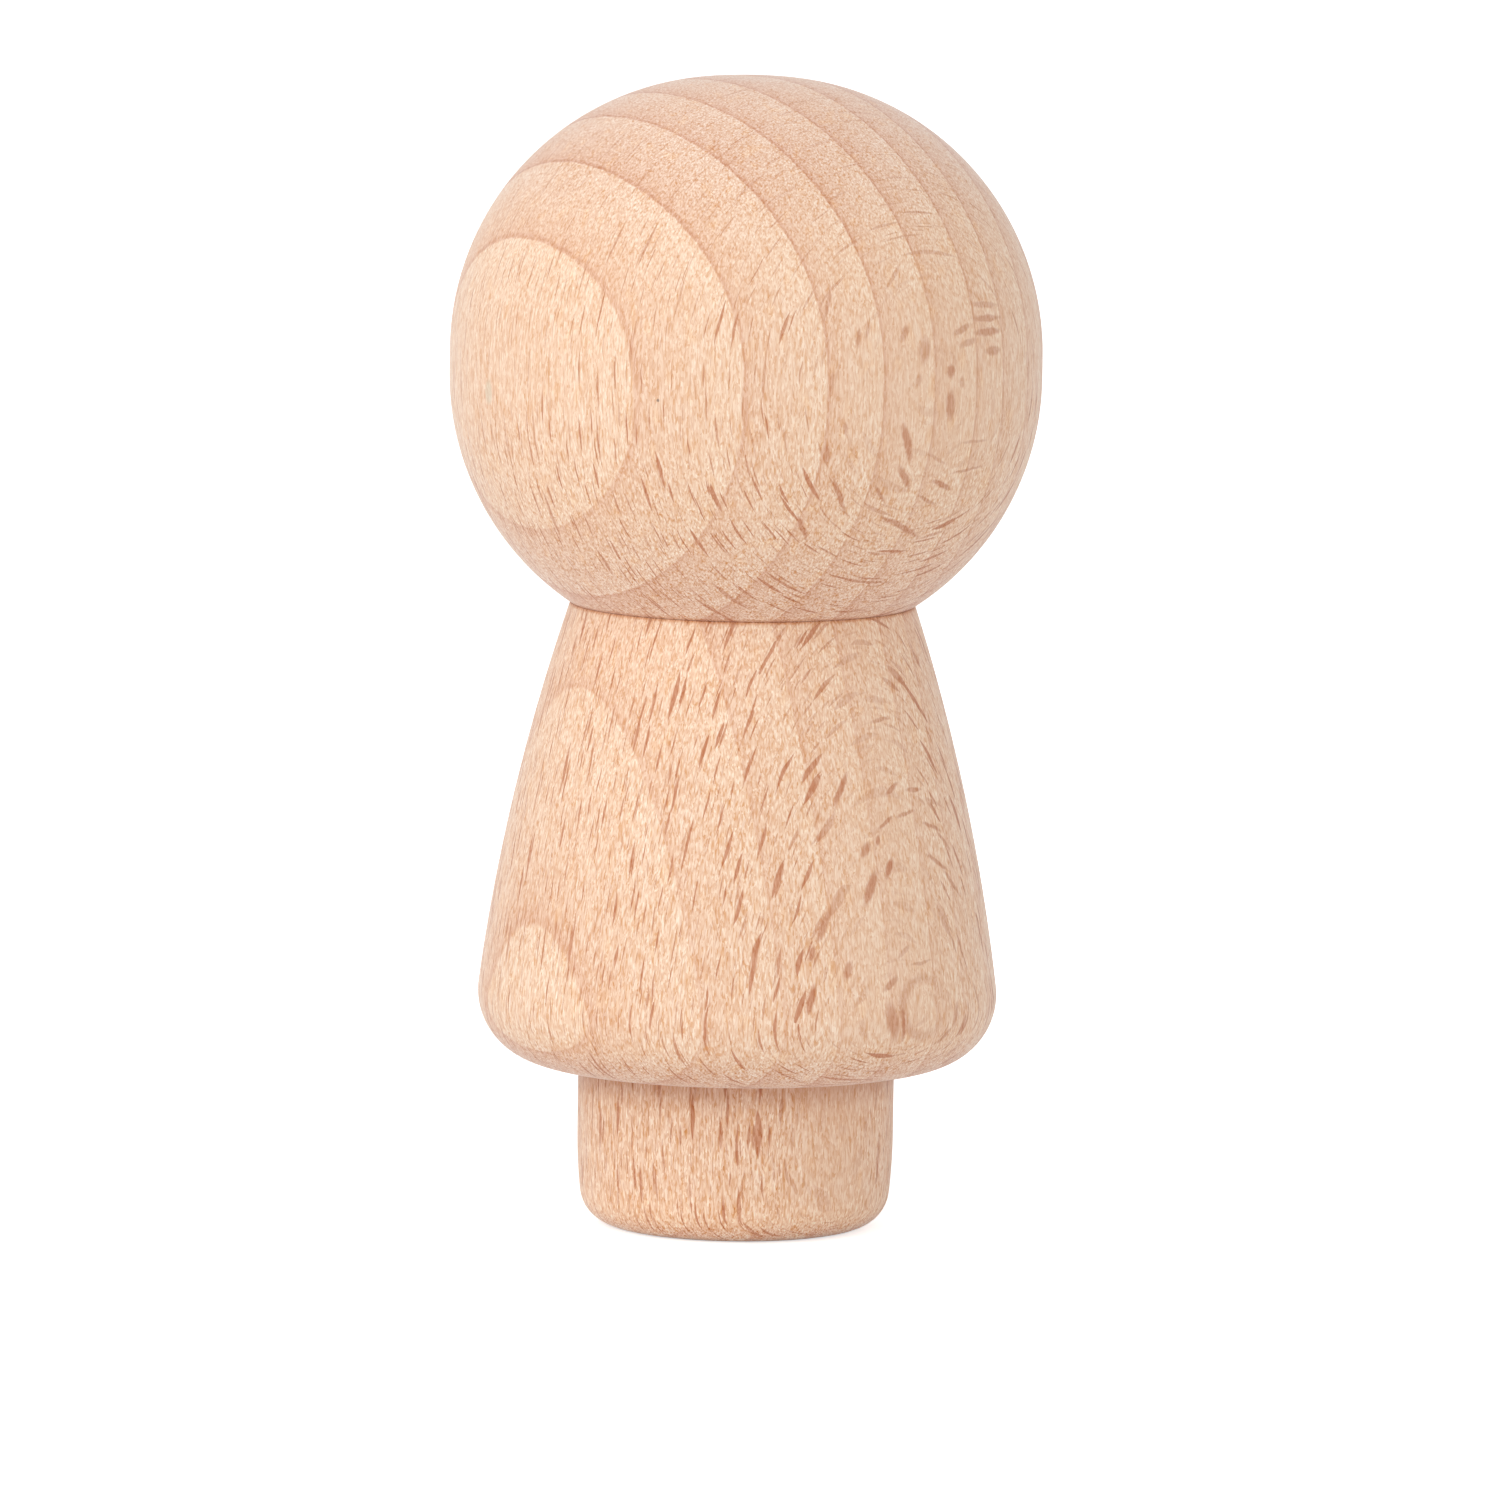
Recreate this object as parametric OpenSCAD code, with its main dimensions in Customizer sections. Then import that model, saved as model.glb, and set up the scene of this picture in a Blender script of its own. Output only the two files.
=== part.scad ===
// Peg doll turned in plain beech: a ball head, a bell-shaped skirt body and a short foot peg,
// joined by a glued dowel at the neck and a glued round tenon under the skirt.
// Millimetres, +Z up, origin at the centre of the face the doll stands on.
// Each turned piece is drawn as half a section, to the right of the doll's axis.

/* [Head] */
// Widest diameter of the head
head_d = 40.5; // [38:0.1:44]
// Height of the straight band around the widest part of the head
head_band_h = 1.55; // [0.5:0.05:4]
// Diameter of the small flat on the crown, where the doll was parted off
crown_flat_d = 2.9; // [1:0.1:4]

/* [Skirt body] */
// Diameter at the neck, where the head sits on the body
neck_d = 23.6; // [20:0.1:27]
// Widest diameter of the skirt, just above its rounded hem
skirt_d = 35.6; // [32:0.1:38]
// Height of the skirt from its underside to the neck
skirt_h = 31.65; // [29:0.05:38]
// Radius of the slightly bowed side of the skirt
skirt_side_r = 140; // [90:5:300]
// Radius of the rounded hem
hem_r = 4.8; // [3:0.1:6]

/* [Foot] */
// Diameter of the foot peg
foot_d = 21.7; // [19:0.1:23]
// Height of the foot that shows under the skirt
foot_h = 11.3; // [9:0.1:14]
// Length of the straight part of the foot, under the skirt
foot_straight_l = 4.8; // [4:0.1:6]
// Radius of the slight swell that leads the straight part down to the edge
foot_flank_r = 40; // [30:1:120]
// Radius of the rounded edge around the standing face
foot_edge_r = 2.6; // [1.5:0.1:3]

/* [Neck joint] */
// Diameter of the neck dowel
neck_dowel_d = 10; // [8:0.5:12]
// Length of the neck dowel
neck_dowel_l = 25; // [18:0.5:28]
// Share of the dowel's length that sits in the body
neck_dowel_body_share = 0.5; // [0.4:0.05:0.6]
// Number of glue flutes along the dowel
flute_count = 16; // [8:1:20]
// Radius of each glue flute
flute_r = 0.6; // [0.4:0.05:0.8]
// Depth that each glue flute is cut into the dowel
flute_depth = 0.3; // [0.2:0.05:0.35]

/* [Foot joint] */
// Diameter of the round tenon on top of the foot
tenon_d = 14; // [12:0.5:16]
// Length of the tenon, from the foot's shoulder to its tip
tenon_l = 12; // [10:0.5:14]

/* [Fits] */
// Radial room for glue between a dowel or tenon and its hole
glue_gap = 0.1; // [0.05:0.01:0.15]
// Room left for glue beyond the tip of a dowel or tenon
glue_end_gap = 0.5; // [0.3:0.1:0.8]
// Chamfer on the tips of the dowel and the tenon
tip_chamfer = 1; // [0.6:0.1:1.2]

/* [Hidden] */
$fn = 180;

// Bare sanded beech, and the milled rod of the dowel
beech = [0.88, 0.72, 0.58];
dowel_beech = [0.80, 0.64, 0.48];

// How far a cut runs past the face it opens on
overrun = 1;
// Straight steps that stand for each arc of a section
arc_steps = 24;

// Heights of the underside of the skirt and of the neck above the ground
skirt_low_z = foot_h;
neck_z = skirt_low_z + skirt_h;

// The head is rounded by two arcs from the crown's flat to the band and from the band to the neck
neck_r = neck_d / 2;
head_arc_x = crown_flat_d / 2;
head_arc_r = head_d / 2 - head_arc_x;
neck_angle = -acos((neck_r - head_arc_x) / head_arc_r);
head_low_centre = [head_arc_x, neck_z - head_arc_r * sin(neck_angle)];
head_high_centre = head_low_centre + [0, head_band_h];
crown_z = head_high_centre[1] + head_arc_r;

// The hem's arc touches the skirt's widest line and its flat underside
hem_centre = [skirt_d / 2 - hem_r, skirt_low_z + hem_r];
// The side's arc starts at the edge of the neck and runs smoothly into the hem's arc, so its
// centre is one side radius from the neck's edge and that less a hem radius from the hem's centre
neck_edge = [neck_r, neck_z];
hem_run = norm(hem_centre - neck_edge);
hem_way = (hem_centre - neck_edge) / hem_run;
side_inner_r = skirt_side_r - hem_r;
side_along = (pow(skirt_side_r, 2) - pow(side_inner_r, 2) + pow(hem_run, 2)) / (2 * hem_run);
side_across = sqrt(pow(skirt_side_r, 2) - pow(side_along, 2));
side_centre = neck_edge + side_along * hem_way + side_across * [hem_way[1], -hem_way[0]];
hem_angle = heading(hem_centre - side_centre);
side_top_angle = heading(neck_edge - side_centre);

// The foot's flank starts under the straight part and runs smoothly into the rounded edge
foot_r = foot_d / 2;
flank_centre = [foot_r - foot_flank_r, foot_h - foot_straight_l];
flank_inner_r = foot_flank_r - foot_edge_r;
edge_angle = -asin((flank_centre[1] - foot_edge_r) / flank_inner_r);
edge_centre = [flank_centre[0] + flank_inner_r * cos(edge_angle), foot_edge_r];

// The dowel stands on the floor of its hole in the body, and its end gap is in the head
neck_dowel_r = neck_dowel_d / 2;
neck_dowel_z = neck_z - neck_dowel_l * neck_dowel_body_share;
tenon_r = tenon_d / 2;
tenon_z = skirt_low_z + tenon_l;

// Direction of a vector, in degrees
function heading(v) = atan2(v[1], v[0]);

// Points along an arc; an arc that goes on from another leaves out its first point
function arc(centre, r, from, to, goes_on = false) =
    [for (i = [goes_on ? 1 : 0:arc_steps])
        let (a = from + (to - from) * i / arc_steps)
            centre + r * [cos(a), sin(a)]];

// Turns a half section about the doll's axis
module turned(section) {
    rotate_extrude() polygon(section);
}

// A hole from the height low to the height high that takes a pin of radius r with room for glue
module pin_hole(r, low, high) {
    translate([0, 0, low])
        cylinder(r = r + glue_gap, h = high - low);
}

// Ball head with a flat seat and a blind hole for the neck dowel
module head() {
    color(beech)
    difference() {
        turned(concat(
            [[0, neck_z]],
            arc(head_low_centre, head_arc_r, neck_angle, 0),
            arc(head_high_centre, head_arc_r, 0, 90),
            [[0, crown_z]]
        ));
        pin_hole(neck_dowel_r, neck_z - overrun, neck_dowel_z + neck_dowel_l + glue_end_gap);
    }
}

// Skirt body with the dowel's hole in its top and the tenon's socket in its underside
module body() {
    color(beech)
    difference() {
        turned(concat(
            [[0, skirt_low_z]],
            arc(hem_centre, hem_r, -90, hem_angle),
            arc(side_centre, skirt_side_r, hem_angle, side_top_angle, true),
            [[0, neck_z]]
        ));
        pin_hole(neck_dowel_r, neck_dowel_z, neck_z + overrun);
        pin_hole(tenon_r, skirt_low_z - overrun, tenon_z + glue_end_gap);
    }
}

// Foot peg whose shoulder seats on the skirt's underside, with its tenon going up into the body
module foot() {
    color(beech)
    turned(concat(
        [[0, 0]],
        arc(edge_centre, foot_edge_r, -90, edge_angle),
        arc(flank_centre, foot_flank_r, edge_angle, 0, true),
        [[foot_r, foot_h], [tenon_r, foot_h], [tenon_r, tenon_z - tip_chamfer]],
        [[tenon_r - tip_chamfer, tenon_z], [0, tenon_z]]
    ));
}

// Dowel with chamfered tips and glue flutes that pins the head to the body
module neck_dowel() {
    tip_r = neck_dowel_r - tip_chamfer;
    top_z = neck_dowel_z + neck_dowel_l;
    flute_x = neck_dowel_r - flute_depth + flute_r;
    color(dowel_beech)
    difference() {
        turned([
            [0, neck_dowel_z],
            [tip_r, neck_dowel_z],
            [neck_dowel_r, neck_dowel_z + tip_chamfer],
            [neck_dowel_r, top_z - tip_chamfer],
            [tip_r, top_z],
            [0, top_z]
        ]);
        for (i = [0:flute_count - 1])
            rotate([0, 0, i * 360 / flute_count])
                translate([flute_x, 0, neck_dowel_z - overrun])
                    cylinder(r = flute_r, h = neck_dowel_l + 2 * overrun);
    }
}

head();
body();
foot();
neck_dowel();
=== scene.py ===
"""Peg doll in bare turned beech: the looks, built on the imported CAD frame."""

import math

import bpy
from mathutils import Matrix, Vector


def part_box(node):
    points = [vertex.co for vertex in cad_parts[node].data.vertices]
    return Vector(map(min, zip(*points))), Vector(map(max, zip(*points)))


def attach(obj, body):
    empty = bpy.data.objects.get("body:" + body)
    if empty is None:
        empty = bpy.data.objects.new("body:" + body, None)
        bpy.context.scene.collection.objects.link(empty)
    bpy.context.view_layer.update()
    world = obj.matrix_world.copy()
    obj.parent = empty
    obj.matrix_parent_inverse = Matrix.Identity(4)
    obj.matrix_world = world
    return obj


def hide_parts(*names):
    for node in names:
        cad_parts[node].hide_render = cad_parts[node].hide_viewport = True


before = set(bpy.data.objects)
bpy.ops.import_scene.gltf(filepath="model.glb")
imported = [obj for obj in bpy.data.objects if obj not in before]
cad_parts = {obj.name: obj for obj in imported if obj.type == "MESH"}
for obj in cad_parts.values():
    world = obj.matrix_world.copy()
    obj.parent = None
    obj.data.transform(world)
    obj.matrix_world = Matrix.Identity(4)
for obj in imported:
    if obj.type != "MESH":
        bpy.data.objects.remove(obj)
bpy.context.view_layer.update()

MM = 0.001

# Camera, matched to the photograph: its distance and height over the aim, its lean, and its scale
AIM_HEIGHT = 40.5 * MM
VIEW_DISTANCE = 1012.5 * MM
VIEW_ELEVATION = math.radians(6.559)
VIEW_LEAN = 0.0143
FRAME_PIXELS = 1500
PIXELS_PER_MM = 14.606
AIM_PIXEL = (742.2, 638.1)
SENSOR_WIDTH = 36.0

# Turned outline of the doll, in millimetres
CROWN_FLAT_R = 1.45
NECK_R = 11.8
HEM_R = 4.8
SIDE_R = 140.0
FOOT_STRAIGHT_L = 4.8
FOOT_FLANK_R = 40.0
FOOT_EDGE_R = 2.6
TIP_CHAMFER = 1.0
GLUE_GAP = 0.1
GLUE_END_GAP = 0.5
TENON_R = 7.0
TENON_L = 12.0
EASED_EDGE = 0.12

# Fineness of the turned meshes: steps in a turn and in the foot's straight part, the longest step along
# an arc, the distance under which points count as one, and the angle from which an edge stays sharp
TURN_STEPS = 360
STRAIGHT_STEPS = 12
OUTLINE_STEP = 0.4
SAME_POINT = 1e-4
SHARP_ANGLE = math.radians(40)


def node_box(name):
    """Lowest and highest corner of a CAD node, in millimetres."""
    low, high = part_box(name)
    return low / MM, high / MM


def arc(centre, radius, start, end):
    """Points along an arc, start and end in radians, no further apart than the outline step."""
    steps = max(3, math.ceil(abs(end - start) * radius / OUTLINE_STEP))
    angles = [start + (end - start) * i / steps for i in range(steps + 1)]
    return [Vector((centre[0] + radius * math.cos(a), centre[1] + radius * math.sin(a))) for a in angles]


def without_repeats(points):
    """The outline without points that lie on the one before."""
    kept = [points[0]]
    for point in points[1:]:
        if (point - kept[-1]).length > SAME_POINT:
            kept.append(point)
    return kept


def eased(before, corner, after, reach):
    """A sharp corner of the outline softened to a small curve."""
    start = corner + (before - corner).normalized() * reach
    end = corner + (after - corner).normalized() * reach
    middle = (start + end + corner * 2) / 4
    return [start, middle, end]


def turned(name, outline):
    """A closed solid turned about Z from an outline that starts and ends on the axis."""
    outline = without_repeats([Vector(p) for p in outline])
    verts = []
    rings = []
    for radius, z in outline:
        if radius < SAME_POINT:
            rings.append([len(verts)])
            verts.append((0.0, 0.0, z * MM))
            continue
        rings.append(list(range(len(verts), len(verts) + TURN_STEPS)))
        for i in range(TURN_STEPS):
            a = 2 * math.pi * i / TURN_STEPS
            verts.append((radius * math.cos(a) * MM, radius * math.sin(a) * MM, z * MM))
    faces = []
    for low, high in zip(rings, rings[1:]):
        for i in range(TURN_STEPS):
            j = (i + 1) % TURN_STEPS
            if len(low) == 1:
                faces.append((low[0], high[j], high[i]))
            elif len(high) == 1:
                faces.append((low[i], low[j], high[0]))
            else:
                faces.append((low[i], low[j], high[j], high[i]))
    mesh = bpy.data.meshes.new(name)
    mesh.from_pydata(verts, [], faces)
    mesh.validate()
    mesh.polygons.foreach_set("use_smooth", [True] * len(mesh.polygons))
    mesh.set_sharp_from_angle(angle=SHARP_ANGLE)
    piece = bpy.data.objects.new(name, mesh)
    bpy.context.collection.objects.link(piece)
    return piece


def head_outline():
    """Half section of the head, from the roof of the dowel's hole round to the crown."""
    low, high = node_box("head")
    dowel_high = node_box("neck_dowel")[1]
    hole_r = dowel_high.x + GLUE_GAP
    arc_r = high.x - CROWN_FLAT_R
    neck_angle = -math.acos((NECK_R - CROWN_FLAT_R) / arc_r)
    low_centre = (CROWN_FLAT_R, low.z - arc_r * math.sin(neck_angle))
    high_centre = (CROWN_FLAT_R, high.z - arc_r)
    flank = arc(low_centre, arc_r, neck_angle, 0)
    rim = eased(Vector((hole_r, low.z)), flank[0], flank[1], EASED_EDGE)
    hole_roof = dowel_high.z + GLUE_END_GAP
    hole = [Vector((0, hole_roof)), Vector((hole_r, hole_roof)), Vector((hole_r, low.z))]
    crown = arc(high_centre, arc_r, 0, math.pi / 2)
    return hole + rim + flank[1:] + crown + [Vector((0, high.z))]


def body_outline():
    """Half section of the skirt, from the roof of the tenon's socket to the floor of the dowel's hole."""
    low, high = node_box("body")
    dowel_low, dowel_high = node_box("neck_dowel")
    hole_r = dowel_high.x + GLUE_GAP
    socket_r = TENON_R + GLUE_GAP
    socket_roof = low.z + TENON_L + GLUE_END_GAP
    hem_centre = Vector((high.x - HEM_R, low.z + HEM_R))
    neck_edge = Vector((NECK_R, high.z))
    run = (hem_centre - neck_edge).length
    way = (hem_centre - neck_edge) / run
    along = (SIDE_R ** 2 - (SIDE_R - HEM_R) ** 2 + run ** 2) / (2 * run)
    across = math.sqrt(SIDE_R ** 2 - along ** 2)
    side_centre = neck_edge + way * along + Vector((way.y, -way.x)) * across
    hem_angle = math.atan2(*reversed(hem_centre - side_centre))
    top_angle = math.atan2(*reversed(neck_edge - side_centre))
    hem = arc(hem_centre, HEM_R, -math.pi / 2, hem_angle)
    side = arc(side_centre, SIDE_R, hem_angle, top_angle)
    socket = [Vector((0, socket_roof)), Vector((socket_r, socket_roof)), Vector((socket_r, low.z))]
    hole = [Vector((hole_r, high.z)), Vector((hole_r, dowel_low.z)), Vector((0, dowel_low.z))]
    rim = eased(side[-2], side[-1], hole[0], EASED_EDGE)
    return socket + hem + side[1:-1] + rim + hole


def foot_outline():
    """Half section of the foot, from the standing face round to the tip of its tenon."""
    low, high = node_box("foot")
    shoulder_z = node_box("body")[0].z
    flank_centre = Vector((high.x - FOOT_FLANK_R, shoulder_z - FOOT_STRAIGHT_L))
    inner_r = FOOT_FLANK_R - FOOT_EDGE_R
    edge_angle = -math.asin((flank_centre.y - FOOT_EDGE_R) / inner_r)
    edge_centre = (flank_centre.x + inner_r * math.cos(edge_angle), FOOT_EDGE_R)
    edge = arc(edge_centre, FOOT_EDGE_R, -math.pi / 2, edge_angle)
    flank = arc(flank_centre, FOOT_FLANK_R, edge_angle, 0)
    left = [FOOT_STRAIGHT_L * (1 - i / STRAIGHT_STEPS) for i in range(STRAIGHT_STEPS + 1)]
    straight = [Vector((high.x, shoulder_z - part)) for part in left]
    tip_r = TENON_R - TIP_CHAMFER
    tenon = [(TENON_R, shoulder_z), (TENON_R, high.z - TIP_CHAMFER), (tip_r, high.z), (0, high.z)]
    return [Vector((0, low.z))] + edge + flank[1:] + straight + [Vector(p) for p in tenon]


# The tree: where the bark lay, and how its growth rings cross the doll, in millimetres
BARK_TURN = math.radians(141.0)
RAY_FACE = (math.sin(BARK_TURN), math.cos(BARK_TURN), 0.0)
RING_LEVEL = 59.0
RING_LEAN = -0.0544
RING_BEND = 0.00702
RING_BEND_GROWTH = 0.000069
RING_BEND_UP = 0.000084
RING_TILT = -0.0341
RING_TILT_BEND = -0.000482
RING_TILT_GROWTH = -0.000005
RING_TWIST = 0.000313
RING_TWIST_GROWTH = 0.000011
RING_RANGE = 26.0
RING_EDGES = (-24.3, -20.6, -17.0, -13.1, -9.1, -5.0, -1.75, 2.35, 6.3, 9.8, 13.9, 17.82, 22.0)

# Tone of the wood through a year, from the spring edge of a ring to its autumn edge, and its mean
YEAR_TONE = (
    (0.0, 1.0), (0.01, 1.0), (0.024, 0.06), (0.1, 0.0), (0.3, 0.14), (0.5, 0.22), (0.7, 0.33), (0.85, 0.48),
    (0.95, 0.62), (0.965, 0.75), (0.976, 1.0), (1.0, 1.0),
)
MEAN_TONE = 0.28

# Bands of height over which one look gives way to the next, in millimetres: the coarse finish of the
# skirt and the smooth one of the head, the rings of foot, skirt and head, the foot, the ragged rings of
# the crown, the head's pores, and the head's weaker rays where they lie flat
FINISH_BAND = (50.0, 62.0)
SKIRT_RING_BAND = (9.0, 14.0)
HEAD_RING_BAND = (38.0, 52.0)
FOOT_BAND = (12.0, 10.0)
CROWN_BAND = (64.0, 74.0)
PORE_BAND = (42.0, 50.0)
FLAT_RAY_BAND = (44.0, 48.0)

# Bands of how far the surface faces up: 0 is upright, 1 is level and -1 faces down
END_GRAIN_FACING = (0.35, 0.85)
OPEN_FACING = (0.1, 0.6)
UNDER_FACING = (-0.45, -0.85)
SHORT_RAY_FACING = (0.25, 0.75)
THICK_RAY_FACING = (0.2, 0.7)

# How strongly the rings show on the foot, the skirt, the head and the ends of the fibres, and in the
# outermost ring of the skirt, which lies this far towards the bark and in this band of height
FOOT_CONTRAST = 0.1
SKIRT_CONTRAST = 0.5
HEAD_CONTRAST = 0.78
RING_CONTRAST_END = 1.25
TONGUE_CONTRAST = 0.85
TONGUE_DEPTH = (14.0, 16.0)
TONGUE_BAND = (30.0, 25.0)

# How far the rings' edges are pushed about below and on the crown, in millimetres, and how quickly
RAGGEDNESS = (0.07, 0.22)
RAGGED_STRETCH = (3.0, 3.0, 0.6)

# How strongly the fine grain shows in the coarse and the smooth finish, on the foot, on the ends of the
# fibres, and where the rays lie flat on the surface
GRAIN_CONTRAST = (1.05, 0.85)
FOOT_GRAIN = 1.28
END_GRAIN_CONTRAST = 1.45
FLAT_GRAIN = 0.7
FLAT_GRAIN_BAND = (0.92, 1.0)

# Fibres: their size in millimetres in the tree, how their ends are staggered, how fine the blotches
# and the threads of the relief are, and how much each kind changes the tone
STRAND_SIZE = (0.16, 0.16, 1.6)
STRAND_EVENNESS = 0.8
STRAND_MEAN = 0.49
STAGGER_STRETCH = (1.5, 1.5, 0.0)
STAGGER = (0.0, 0.0, 4.0)
FUZZ_SIZE = (0.09, 0.09, 0.3)
BLOTCH_STRETCH = (0.25, 0.25, 0.08)
THREAD_STRETCH = (6.5, 6.5, 1.5)
STRAND_TONE = -0.66
FUZZ_TONE = 0.55
BLOTCH_TONE = 0.12

# Rays: their thickness and strength in the coarse and the smooth finish, their strength on the foot, on
# the ends of the fibres and where they lie flat, and how much thicker they are on those ends
RAY_THICKNESS = (1.3, 0.8)
RAY_STRENGTH = (1.45, 0.95)
FOOT_RAYS = 0.92
END_RAYS = 0.55
FLAT_RAYS = 0.25
FLAT_RAY_FACING = (0.9, 0.975)
HEAD_FLAT_RAY_SHIFT = 0.04
END_SWELL = 1.1
RAY_WILDNESS = 0.9
THINNEST_SHARE = 0.4
SHORTEST_SHARE = 0.65
RAY_EDGE = 0.3

# The slow bends and the quick kinks of the rays: how quickly they come, and how far they push, in mm
BEND_STRETCH = (0.1, 0.35, 0.22)
BEND_REACH = (0.0, 0.5, 0.0)
KINK_STRETCH = (2.0, 2.0, 0.6)
KINK_REACH = (0.0, 0.05, 0.0)

# Layers of rays: spacing and half size in millimetres (towards the bark, across, up), and the
# strength of the faintest and of the strongest
RAY_LAYERS = (
    ((1.6, 0.3, 1.4), (0.9, 0.036, 0.7), 0.2, 0.45),
    ((2.2, 0.8, 2.8), (1.2, 0.065, 1.3), 0.35, 0.9),
    ((2.8, 1.1, 3.6), (1.5, 0.1, 1.6), 0.55, 1.0),
    ((6.0, 2.6, 5.0), (2.8, 0.15, 2.2), 0.5, 1.0),
)

# Pores: how dark they are through a year, how strong they are from the side and from above, and how
# a noise breaks them up and how weak it makes them
PORE_LINE = ((0.0, 0.9), (0.01, 0.6), (0.025, 0.0), (0.965, 0.0), (0.982, 0.6), (1.0, 0.9))
SIDE_PORES = 0.35
SIDE_PORE_FACING = (0.35, 0.9)
TOP_PORES = 0.6
THIN_PORES = 0.35
PORE_GAP_STRETCH = (2.0, 2.0, 0.9)
PORE_GAP_BAND = (0.4, 0.62)

# Flecks seen where rays lie nearly flat on the surface, placed as in the photograph: the turn from the
# front in degrees, the height in mm, half the length and half the width in mm, the lean to the right
# in degrees, and the strength. Lengths round the doll are taken on a cylinder of TURN_R. Their shapes
# are bent by a noise, and they fade in from their edge over a share of their size.
TURN_R = 15.0
FLECK_BEND_STRETCH = (2.0, 2.0, 0.0)
FLECK_BEND_REACH = (0.2, 0.3, 0.0)
FLECK_EDGE = (1.0, 0.45)
FLECKS = (
    (43.0, 60.5, 0.6, 0.35, 0, 0.8),
    (43.0, 58.2, 1.3, 0.4, 0, 0.75),
    (54.5, 64.7, 1.4, 0.3, 95, 0.55),
    (54.5, 63.8, 1.6, 0.3, 92, 0.65),
    (46.5, 63.2, 0.9, 0.3, 66, 0.55),
    (54.5, 62.9, 1.5, 0.35, 90, 0.7),
    (48.0, 62.3, 0.9, 0.3, 76, 0.5),
    (55.5, 61.6, 0.9, 0.4, 93, 0.6),
    (36.5, 62.0, 1.2, 0.45, 4, 0.55),
    (32.0, 63.2, 0.75, 0.3, 20, 0.55),
    (33.0, 55.8, 1.8, 0.3, -14, 0.8),
    (33.5, 53.4, 1.2, 0.3, -28, 0.8),
    (43.5, 52.7, 1.1, 0.25, -62, 0.8),
    (36.0, 49.9, 2.4, 0.25, -62, 0.8),
    (50.5, 53.6, 1.6, 0.15, 84, 0.6),
    (51.0, 55.5, 1.3, 0.15, 90, 0.45),
    (40.5, 54.6, 1.2, 0.15, -60, 0.4),
    (40.5, 51.7, 1.0, 0.15, -62, 0.6),
    (46.0, 49.1, 1.2, 0.15, 78, 0.6),
    (31.0, 66.9, 1.2, 0.15, 35, 0.5),
    (16.0, 65.2, 1.6, 0.15, 12, 0.6),
    (16.5, 59.9, 1.2, 0.15, 3, 0.6),
    (16.0, 55.3, 0.9, 0.2, -8, 0.7),
    (19.5, 52.3, 1.7, 0.2, -20, 0.8),
    (12.5, 50.1, 1.3, 0.2, -22, 0.85),
    (28.5, 52.3, 0.9, 0.15, -30, 0.7),
    (22.0, 63.0, 0.8, 0.15, 8, 0.6),
    (24.0, 63.5, 0.8, 0.15, 10, 0.5),
    (19.5, 56.9, 0.6, 0.15, -3, 0.6),
    (35.0, 60.0, 0.6, 0.25, 10, 0.4),
    (46.0, 59.7, 0.5, 0.25, 0, 0.35),
    (27.0, 31.8, 1.6, 0.3, 30, 0.9),
    (32.5, 27.7, 0.8, 0.4, 35, 0.75),
    (36.5, 28.3, 0.5, 0.2, 10, 0.9),
    (39.5, 29.4, 1.0, 0.2, 58, 0.8),
    (47.0, 29.9, 1.2, 0.2, 82, 0.65),
    (33.0, 25.2, 1.6, 0.45, 24, 0.9),
    (39.0, 26.4, 0.9, 0.35, 26, 1.0),
    (43.0, 31.6, 1.0, 0.25, 59, 0.8),
    (51.5, 31.4, 1.1, 0.2, 94, 0.65),
    (59.0, 30.4, 1.2, 0.2, 112, 0.55),
    (56.5, 28.8, 1.4, 0.2, 112, 0.7),
    (56.5, 26.4, 1.6, 0.2, 122, 0.75),
    (61.5, 24.9, 1.6, 0.2, 140, 0.7),
    (61.0, 27.7, 1.3, 0.2, 138, 0.65),
    (43.0, 36.2, 1.2, 0.2, 84, 0.65),
    (41.0, 20.8, 0.8, 0.25, 50, 0.5),
    (20.0, 22.8, 1.5, 0.35, 22, 0.8),
    (17.0, 21.0, 0.7, 0.25, 15, 0.9),
    (16.5, 17.9, 1.3, 0.3, 14, 1.0),
    (25.5, 19.8, 0.9, 0.35, 18, 0.75),
    (36.5, 18.7, 0.9, 0.3, 50, 0.7),
    (36.5, 16.2, 1.7, 0.6, -12, 0.75),
    (39.5, 15.9, 1.6, 0.2, -3, 1.0),
    (57.0, 16.1, 1.1, 0.2, 12, 0.7),
    (53.5, 14.7, 0.9, 0.2, 45, 0.7),
    (46.0, 19.9, 1.1, 0.15, 84, 0.5),
)

# The loop above the hem: its turn and height, half its height and half its width, and its strength.
# Its inner and outer edge are shares of those halves, and its right side is fainter by a share.
LOOP = (46.0, 16.9, 2.2, 2.0, 0.5)
LOOP_INNER_EDGE = (0.62, 0.85)
LOOP_OUTER_EDGE = (1.15, 0.92)
LOOP_SIDES = (0.9, -0.9)
LOOP_RIGHT_SHARE = 0.25

# Marks on the finish: the turn and height, half the height and half the width, the colour, and the
# strength
MARKS = (
    (-59.2, 58.2, 1.1, 0.45, (0.6, 0.6, 0.48), 0.35),
    (-16.9, 58.7, 0.13, 0.1, (0.2, 0.15, 0.12), 0.8),
    (-6.6, 14.6, 0.24, 0.18, (0.72, 0.32, 0.12), 0.7),
    (-3.9, 14.2, 0.18, 0.28, (0.74, 0.34, 0.13), 0.6),
    (-44.5, 13.7, 0.35, 2.4, (0.8, 0.44, 0.24), 0.25),
    (14.8, 13.5, 0.35, 0.6, (0.78, 0.42, 0.22), 0.3),
)

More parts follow.
